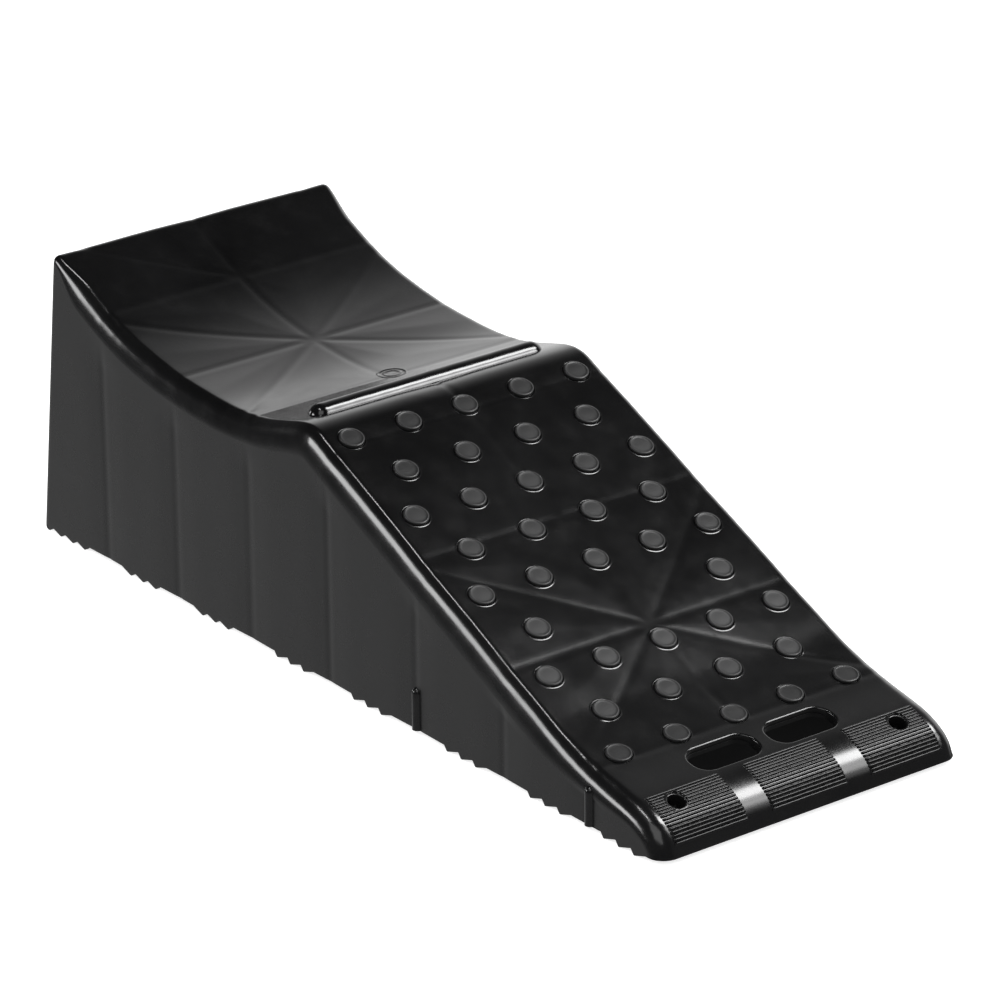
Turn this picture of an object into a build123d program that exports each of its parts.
from build123d import *
import math
import os

# Wheel levelling ramp: a hollow ribbed moulding with a tyre cradle, a crest, a studded deck
# and a convex toe that carries three ribbed tread pads.
# Frame: +X towards the toe (low end), +Y to the right when driving up, +Z up.
# Origin on the ground, at the centre of the footprint.  Millimetres.

# --- body -------------------------------------------------------------------
X_REAR = -311.0             # rear wall at the base rim
X_REAR_TOP = -289.0         # rear wall at the top rim (virtual sharp corner)
X_TOE = 311.0               # toe at the base rim
Z_TOP = 186.6               # top rim of the rear wall (virtual sharp corner)
Z_RIM = 3.0                 # base rim above the ground; the teeth reach down to 0
HALF_WIDTH = 105.5          # at the base rim
DRAFT_ANGLE = 1.6           # side walls, degrees
WALL = 3.0                  # skin thickness
R_SHOULDER = 10.0           # between the top skin and the side walls
R_REAR = 5.0                # upright rear corners and top rim
Y_CLEAR = 120               # beyond the side walls, for prisms trimmed later

DECK_SLOPE = 0.4632         # fall of the deck per unit of X
DECK_Z0 = 143.95            # deck height at X = 0
X_CREST = -12.0             # the deck plane starts here
X_EASE = 205.0              # the deck plane ends here and eases out

# --- ribs and side walls ----------------------------------------------------
RIB = 2.6
RIB_X = [-235.5, -158.0, -80.0, 0.5, 86.0, 169.0, 247.0]    # transverse ribs
RIB_DIAGONALS = [(1, 0), (1, 2), (5, 4), (5, 6)]    # rib index on the centreline, at the side
RIB_REAR_X = -318           # lengthwise and rear diagonal ribs run past the rear wall
RIB_BOTTOM, RIB_TOP = Z_RIM + 2.0, 195.0

TOOTH_X = [-290.1, -210.8, -132.3, -54.3, 23.9, 115.2, 193.6, 260.1]    # tooth groups
TOOTH_REAR_GROUPS = 3       # groups whose long flank faces the rear
TOOTH_PITCH = 13.56
TEETH_PER_GROUP = 3         # the first group has one more, at its rear
# (x, z) of a tooth about its tip
TOOTH_REAR = [(-10.6, Z_RIM), (-1.0, 0), (0, 0), (2.4, Z_RIM)]
TOOTH_TOE = [(-x, z) for x, z in reversed(TOOTH_REAR)]
TOOTH_WALL_EXTRA = 0.35     # teeth are this much thicker than the side wall

BOSSES = [(86.0, 22.5), (247.5, 20.0)]      # (x, height) of the upright side bosses
BOSS_R = 3.4
BOSS_INSET = 1.2            # boss axis inside the side face

# --- snap stems, shared by studs, bead and pads -----------------------------
STEM_R = 2.5
STEM_HOLE_R = STEM_R + 0.1
BARB_TIP_R, BARB_R = 1.7, 3.3
RELIEF_R = 4.4              # room for a barb where it meets a rib
HOLE_THROUGH = 1.0          # stem hole past the underside of the skin
RELIEF_DEPTH = 6.0          # relief past the underside of the skin

# --- grip studs -------------------------------------------------------------
STUD_R = 7.6
STUD_SEAT = 0.6             # depth of the seat in the deck
STUD_PROUD = 1.2            # height above the deck
STUD_CHAMFER = 0.4
STUD_ROW_X0, STUD_ROW_PITCH = -4.0, 30.64
STUD_LAST_ROW_X = 242.0
FIVE = [40.0 * k for k in (-2, -1, 0, 1, 2)]
FOUR = [43.0 * k for k in (-1.5, -0.5, 0.5, 1.5)]
PAIR = [FOUR[0], FOUR[-1]]
STUD_ROWS = dict(zip("abcdefghi", [FIVE, FOUR, FIVE, FOUR, FIVE, PAIR, FIVE, FOUR, FIVE]))

# --- tyre stop bead ---------------------------------------------------------
BEAD_X = -41.6
BEAD_R = 8.0
BEAD_HALF = 82.2            # half length over the round ends
BEAD_SINK = 2.1             # bead axis below the skin surface
BEAD_SEAT = 0.8             # depth of its seat
BEAD_STEM_Y = (-62.0, -22.0, 22.0, 62.0)

# --- toe pads, peg holes and slots ------------------------------------------
PAD_X0, PAD_X1 = 281.0, 308.6
PAD_SEAT = 1.4              # depth of the seat in the toe skin
PAD_GAP = 0.15              # clearance at each side of a pad
PAD_STEM_X = 296.0
PAD_RIBS = 16
PAD_RIB_H = 1.1
# (fraction of the rib pitch, height) along one pad rib
PAD_RIB_SHAPE = [(0.10, 0.0), (0.32, PAD_RIB_H), (0.68, PAD_RIB_H), (0.90, 0.0)]
PEG_X, PEG_Y = 289.8, 77.6
PEG_R = 5.2                 # hole in the skin
PEG_PAD_R = 6.7             # hole in the pad
PEG_TUBE_R = 9.0            # tube round the hole, inside the shell
# name: (y start, y end, stem y values, peg hole y)
PADS = {
    "tread_pad_left": (-93.2, -43.4, (-61.5, -50.0), -PEG_Y),
    "tread_pad_centre": (-26.2, 26.2, (-16.0, 16.0), None),
    "tread_pad_right": (43.4, 93.2, (50.0, 61.5), PEG_Y),
}
SLOT_X, SLOT_Y = 267.0, 27.0
SLOT_LENGTH, SLOT_WIDTH, SLOT_R = 44.6, 21.0, 9.5

# --- top line of the side profile, (x, z) -----------------------------------
CRADLE = [
    (X_REAR_TOP, Z_TOP), (-277.0, 180.3), (-257.0, 170.3), (-237.5, 161.3),
    (-212.0, 151.9), (-185.0, 145.6), (-158.0, 141.8), (-134.0, 139.7),
    (-110.0, 138.9), (-90.0, 139.9), (-70.0, 142.3), (-54.0, 145.8),
    (-42.0, 148.9), (-32.0, 151.2), (-24.0, 152.0),
    (X_CREST, DECK_Z0 - X_CREST * DECK_SLOPE),
]
TOE = [
    (X_EASE, DECK_Z0 - X_EASE * DECK_SLOPE), (222.0, 42.3), (242.0, 36.2),
    (262.0, 31.2), (276.0, 28.2), (285.0, 26.0), (294.0, 22.4),
    (301.5, 17.9), (307.1, 12.0), (309.8, 6.6), (X_TOE, Z_RIM),
]
# x stations of the cavity roof under the toe
TOE_ROOF_X = [X_EASE, 222.0, 242.0, 256.0, 266.0, 276.0, 285.0, 293.0, 299.5, 304.5, 308.0, 309.9]
SKIN_THICKEN_X, SKIN_THICKEN_LENGTH = 258.0, 14.0

BASE_ALIGN = (Align.CENTER, Align.CENTER, Align.MIN)
line = Edge.make_line


def xz(x, z):
    return Vector(x, 0, z)


deck_dir = xz(1, -DECK_SLOPE)
cradle_edge = Edge.make_spline([xz(*p) for p in CRADLE], tangents=[xz(12, -6.5), deck_dir])
toe_edge = Edge.make_spline([xz(*p) for p in TOE], tangents=[deck_dir, xz(1.0, -4.6)])
deck_edge = line(xz(*CRADLE[-1]), xz(*TOE[0]))


# --- helpers ----------------------------------------------------------------
def bisect(low, high, is_before):
    """Value between low and high where is_before turns false."""
    for _ in range(50):
        middle = 0.5 * (low + high)
        if is_before(middle):
            low = middle
        else:
            high = middle
    return low


def on_top(x):
    """Point and unit upward normal of the top line at x."""
    edge = cradle_edge if x < X_CREST else (deck_edge if x <= X_EASE else toe_edge)
    place = bisect(0.0, 1.0, lambda u: edge.position_at(u).X < x)
    tangent = edge.tangent_at(place)
    return edge.position_at(place), xz(-tangent.Z, tangent.X).normalized()


def offset_top(x, height):
    point, normal = on_top(x)
    return point + normal * height


def skin(x):
    """Skin thickness; the toe is thicker because the pad seats are cut into it."""
    k = min(1.0, max(0.0, (x - SKIN_THICKEN_X) / SKIN_THICKEN_LENGTH))
    return WALL + PAD_SEAT * k * k * (3 - 2 * k)


def prism(wire, y0=-Y_CLEAR, y1=Y_CLEAR):
    """Extrude an XZ outline from y0 to y1."""
    return extrude(Face(wire), amount=y1 - y0, dir=(0, 1, 0)).moved(Location((0, y0, 0)))


def drafted_bar(half_width, z_low=-10, z_high=220):
    """Full-length bar with the drafted side faces; half_width is at the base rim."""
    def half(z):
        return half_width - (z - Z_RIM) * math.tan(math.radians(DRAFT_ANGLE))

    corners = [(-half(z_low), z_low), (half(z_low), z_low),
               (half(z_high), z_high), (-half(z_high), z_high)]
    wire = Wire.make_polygon([Vector(-330, y, z) for y, z in corners], close=True)
    return extrude(Face(wire), amount=660, dir=(1, 0, 0))


def seat_plane(x, y):
    """Plane on the top surface, Z along the outward normal."""
    point, normal = on_top(x)
    return Plane(origin=(point.X, y, point.Z), x_dir=(0, 1, 0), z_dir=(normal.X, 0, normal.Z))


def plug(plane, radius, z0, z1):
    return plane * (Pos(0, 0, z0) * Cylinder(radius, z1 - z0, align=BASE_ALIGN))


def stem(plane, thickness, top):
    """Stem from `top` down through the skin, with a conical barb under it."""
    barb_low, barb_high = -thickness - 3.6, -thickness - 0.15
    shank = plug(plane, STEM_R, -thickness - 0.6, top)
    barb = Cone(BARB_TIP_R, BARB_R, barb_high - barb_low, align=BASE_ALIGN)
    return (shank + plane * (Pos(0, 0, barb_low) * barb)).solid()


# --- body and cavity --------------------------------------------------------
def make_outer():
    rear_base = xz(X_REAR, Z_RIM)
    wire = Wire([cradle_edge, deck_edge, toe_edge,
                 line(xz(*TOE[-1]), rear_base), line(rear_base, xz(*CRADLE[0]))])
    body = (prism(wire) & drafted_bar(HALF_WIDTH)).solid()

    # the long top edges on both sides, from the rear rim down to the toe
    shoulders = []
    for edge in body.edges():
        start, middle, end = (edge.position_at(u) for u in (0, 0.5, 1))
        same_side = start.Y * end.Y > 80 * 80
        if same_side and middle.Z > Z_RIM + 0.5 and abs(start.X - end.X) > 30:
            shoulders.append(edge)
    body = fillet(shoulders, R_SHOULDER).solid()

    upright = [e for e in body.edges()
               if abs(e.position_at(0).Z - e.position_at(1).Z) > 100
               and e.position_at(0.5).X < -290]
    rim = [e for e in body.edges()
           if e.position_at(0.5).Z > Z_TOP - 2 and abs(e.position_at(0.5).Y) < 5]
    return fillet(upright + rim, R_REAR).solid()


def make_inner():
    """The cavity before the ribs are taken out; it runs down past the ground."""
    bottom = -5
    rear_dir = xz(X_REAR_TOP - X_REAR, Z_TOP - Z_RIM).normalized()
    rear_normal = xz(rear_dir.Z, -rear_dir.X)
    rear_base = xz(X_REAR, Z_RIM) + rear_normal * WALL

    # where the roof of the cradle meets the inner face of the rear wall
    corner_x = bisect(-288.9, -270.0,
                      lambda x: (offset_top(x, -WALL) - rear_base).dot(rear_normal) < 0)
    cradle_x = [corner_x] + [x for x, _ in CRADLE if x > corner_x + 6]
    cradle_roof = Edge.make_spline([offset_top(x, -WALL) for x in cradle_x])
    toe_roof = Edge.make_spline([offset_top(x, -skin(x)) for x in TOE_ROOF_X])

    toe_end = toe_roof.position_at(1)
    toe_bottom = xz(toe_end.X + 0.4, bottom)
    rear_bottom = rear_base + rear_dir * ((bottom - rear_base.Z) / rear_dir.Z)
    wire = Wire([cradle_roof, line(cradle_roof.position_at(1), toe_roof.position_at(0)),
                 toe_roof, line(toe_end, toe_bottom), line(toe_bottom, rear_bottom),
                 line(rear_bottom, cradle_roof.position_at(0))])
    return (prism(wire) & drafted_bar(HALF_WIDTH - WALL)).solid()


# --- ribs -------------------------------------------------------------------
def make_rib(start, end):
    """Upright plate between two (x, y) points."""
    (x0, y0), (x1, y1) = start, end
    length = math.hypot(x1 - x0, y1 - y0)
    side_x = -(y1 - y0) / length * RIB / 2
    side_y = (x1 - x0) / length * RIB / 2
    corners = [(x0 + side_x, y0 + side_y), (x1 + side_x, y1 + side_y),
               (x1 - side_x, y1 - side_y), (x0 - side_x, y0 - side_y)]
    wire = Wire.make_polygon([Vector(x, y, RIB_BOTTOM) for x, y in corners], close=True)
    return extrude(Face(wire), amount=RIB_TOP - RIB_BOTTOM, dir=(0, 0, 1))


def make_lattice(reliefs):
    """All ribs, relieved round the barbs, and the tubes round the peg holes."""
    spans = [((x, -112), (x, 112)) for x in RIB_X]
    spans.append(((RIB_REAR_X, 0), (RIB_X[6], 0)))
    for side in (-1, 1):
        spans.append(((RIB_X[0], 0), (RIB_REAR_X, 104 * side)))
        spans += [((RIB_X[i], 0), (RIB_X[j], 108 * side)) for i, j in RIB_DIAGONALS]
    lattice = make_rib(*spans[0])
    for span in spans[1:]:
        lattice = lattice + make_rib(*span)
    lattice = lattice - reliefs
    for side in (-1, 1):
        tube = Cylinder(PEG_TUBE_R, 60, align=BASE_ALIGN)
        lattice = lattice + Pos(PEG_X, side * PEG_Y, Z_RIM + 0.5) * tube
    return lattice


# --- fitted pieces ----------------------------------------------------------
def make_stud(plane):
    disc = plug(plane, STUD_R, -STUD_SEAT, STUD_PROUD)
    top = [e for e in disc.edges()
           if plane.to_local_coords(e.position_at(0.5)).Z > STUD_PROUD - 0.01]
    disc = chamfer(top, STUD_CHAMFER)
    return (disc + stem(plane, WALL, -STUD_SEAT + 0.2)).solid()


def make_bead():
    """Round-ended bar cut off along the floor of its seat, without stems."""
    point, normal = on_top(BEAD_X)
    axis = point - normal * BEAD_SINK
    straight = BEAD_HALF - BEAD_R
    diagonal = BEAD_R * math.sqrt(0.5)
    arc = Edge.make_three_point_arc
    tip, tip_low = Vector(0, BEAD_HALF, 0), Vector(0, -BEAD_HALF, 0)
    side, side_low = Vector(BEAD_R, straight, 0), Vector(BEAD_R, -straight, 0)
    outline = Wire([line(tip_low, tip),
                    arc(tip, Vector(diagonal, straight + diagonal, 0), side),
                    line(side, side_low),
                    arc(side_low, Vector(diagonal, -straight - diagonal, 0), tip_low)])
    capsule = revolve(Face(outline), Axis.Y, 360).moved(Location((axis.X, 0, axis.Z)))

    z_above = 175
    floor = Edge.make_spline([offset_top(BEAD_X + x, -BEAD_SEAT) for x in (-12, -6, 0, 6, 12)])
    start, end = floor.position_at(0), floor.position_at(1)
    start_up, end_up = xz(start.X, z_above), xz(end.X, z_above)
    above = Wire([floor, line(end, end_up), line(end_up, start_up), line(start_up, start)])
    return (capsule & prism(above, -100, 100)).solid()


def pad_stations(count):
    return [PAD_X0 + (PAD_X1 - PAD_X0) * k / count for k in range(count + 1)]


def pad_seat_outline():
    """Outline from the floor of the pad seats to well above the toe."""
    floor = Edge.make_spline([offset_top(x, -PAD_SEAT) for x in pad_stations(12)])
    start, end = floor.position_at(0), floor.position_at(1)
    start_up = start + on_top(PAD_X0)[1] * 8
    end_up = end + on_top(PAD_X1)[1] * 8
    middle_up = offset_top(297.0, 12)
    return Wire([floor, line(end, end_up), line(end_up, middle_up),
                 line(middle_up, start_up), line(start_up, start)])


def pad_rib_outline():
    """Ribbed outline of the pads, ribs evenly spaced along the toe line."""
    stations = pad_stations(400)
    points = [on_top(x)[0] for x in stations]
    lengths = [0.0]
    for before, after in zip(points, points[1:]):
        lengths.append(lengths[-1] + (after - before).length)
    pitch = lengths[-1] / PAD_RIBS

    depth = -4.0
    x_lead, x_tail = PAD_X0 - 1.0, 309.6
    outline = [offset_top(x_lead, depth), offset_top(x_lead, 0.0)]
    for k in range(PAD_RIBS):
        for fraction, height in PAD_RIB_SHAPE:
            along = k * pitch + fraction * pitch
            x = next(s for s, length in zip(stations, lengths) if length >= along)
            outline.append(offset_top(x, height))
    outline.append(offset_top(x_tail, 0.0))
    outline += [offset_top(x, depth) for x in (x_tail, 304, 297, 290)]
    return Wire.make_polygon(outline, close=True)


def make_pad(seat_wire, rib_wire, y0, y1, stem_ys, hole_y):
    ribbed = prism(rib_wire, y0 + PAD_GAP, y1 - PAD_GAP)
    pad = (ribbed & prism(seat_wire, y0 - 1, y1 + 1)).solid()
    if hole_y is not None:
        pad = (pad - Pos(PEG_X, hole_y, 0) * Cylinder(PEG_PAD_R, 80)).solid()
    for y in stem_ys:
        pad = pad + stem(seat_plane(PAD_STEM_X, y), skin(PAD_STEM_X), -PAD_SEAT + 0.3)
    return pad.solid()


# --- teeth and side bosses --------------------------------------------------
def make_teeth(outer, inner):
    """Teeth under the two side walls, between the rim and the ground."""
    foot = Face(Wire([e for e in outer.edges()
                      if all(abs(e.position_at(u).Z - Z_RIM) < 1e-3 for u in (0, 0.5))]))
    skirt = extrude(foot, amount=Z_RIM, dir=(0, 0, -1)) - inner
    middle = Box(700, 2 * (HALF_WIDTH - WALL - TOOTH_WALL_EXTRA), 20)
    strips = (skirt - middle).solids()

    prisms = []
    for group, group_x in enumerate(TOOTH_X):
        shape = TOOTH_REAR if group < TOOTH_REAR_GROUPS else TOOTH_TOE
        for k in range(-1 if group == 0 else 0, TEETH_PER_GROUP):
            tip = group_x + TOOTH_PITCH * k
            prisms.append(prism(Wire.make_polygon([xz(tip + x, z) for x, z in shape], close=True)))
    teeth = []
    for strip in strips:
        for tooth in prisms:
            teeth += [s for s in (strip & tooth).solids() if s.volume > 0.5]
    return teeth


def make_side_boss(x, height, side):
    """Round-topped upright boss, leaning with the side wall."""
    boss = Cylinder(BOSS_R, height, align=BASE_ALIGN) + Pos(0, 0, height) * Sphere(BOSS_R)
    foot = (x, side * (HALF_WIDTH - BOSS_INSET), Z_RIM)
    return Location(foot, (side * DRAFT_ANGLE, 0, 0)) * boss


# --- build ------------------------------------------------------------------
outer = make_outer()
inner = make_inner()

parts = {}
seat_cuts, stem_cuts, pad_cuts, reliefs = [], [], [], []

for index, (row, row_ys) in enumerate(STUD_ROWS.items()):
    row_x = STUD_LAST_ROW_X if row == "i" else STUD_ROW_X0 + STUD_ROW_PITCH * index
    planes = [seat_plane(row_x, y) for y in row_ys]
    parts["grip_studs_row_" + row] = Compound(children=[make_stud(plane) for plane in planes])
    for plane in planes:
        seat_cuts.append(plug(plane, STUD_R, -STUD_SEAT, 3))
        stem_cuts.append(plug(plane, STEM_HOLE_R, -WALL - HOLE_THROUGH, 0))
        reliefs.append(plug(plane, RELIEF_R, -WALL - RELIEF_DEPTH, 0))

bead_cut = make_bead()
bead = bead_cut
for y in BEAD_STEM_Y:
    plane = seat_plane(BEAD_X, y)
    bead = bead + stem(plane, WALL, 0.5)
    stem_cuts.append(plug(plane, STEM_HOLE_R, -WALL - HOLE_THROUGH, -0.5))
    reliefs.append(plug(plane, RELIEF_R, -WALL - RELIEF_DEPTH, -1.5))
parts["tyre_stop_bead"] = bead.solid()

seat_wire, rib_wire = pad_seat_outline(), pad_rib_outline()
for name, (y0, y1, stem_ys, hole_y) in PADS.items():
    parts[name] = make_pad(seat_wire, rib_wire, y0, y1, stem_ys, hole_y)
    pad_cuts.append(prism(seat_wire, y0, y1))
    for y in stem_ys:
        stem_cuts.append(plug(seat_plane(PAD_STEM_X, y), STEM_HOLE_R,
                              -skin(PAD_STEM_X) - 1.2, -PAD_SEAT + 0.2))

slots, peg_holes = [], []
for side in (-1, 1):
    outline = Pos(SLOT_X, side * SLOT_Y, 0) * RectangleRounded(SLOT_WIDTH, SLOT_LENGTH, SLOT_R)
    slots.append(extrude(outline, amount=80))
    peg_holes.append(Pos(PEG_X, side * PEG_Y, 0) * Cylinder(PEG_R, 120))

shell = outer - (inner - make_lattice(reliefs))
for tooth in make_teeth(outer, inner):
    shell = shell + tooth
for x, height in BOSSES:
    for side in (-1, 1):
        shell = shell + (make_side_boss(x, height, side) - inner)
shell = shell - (seat_cuts + stem_cuts + [bead_cut] + pad_cuts + slots + peg_holes)
# the cuts can leave loose slivers; the shell is the largest solid
parts["ramp_shell"] = max(shell.solids(), key=lambda solid: solid.volume)

os.makedirs("parts", exist_ok=True)
for name, part in parts.items():
    export_step(part, f"parts/{name}.step")
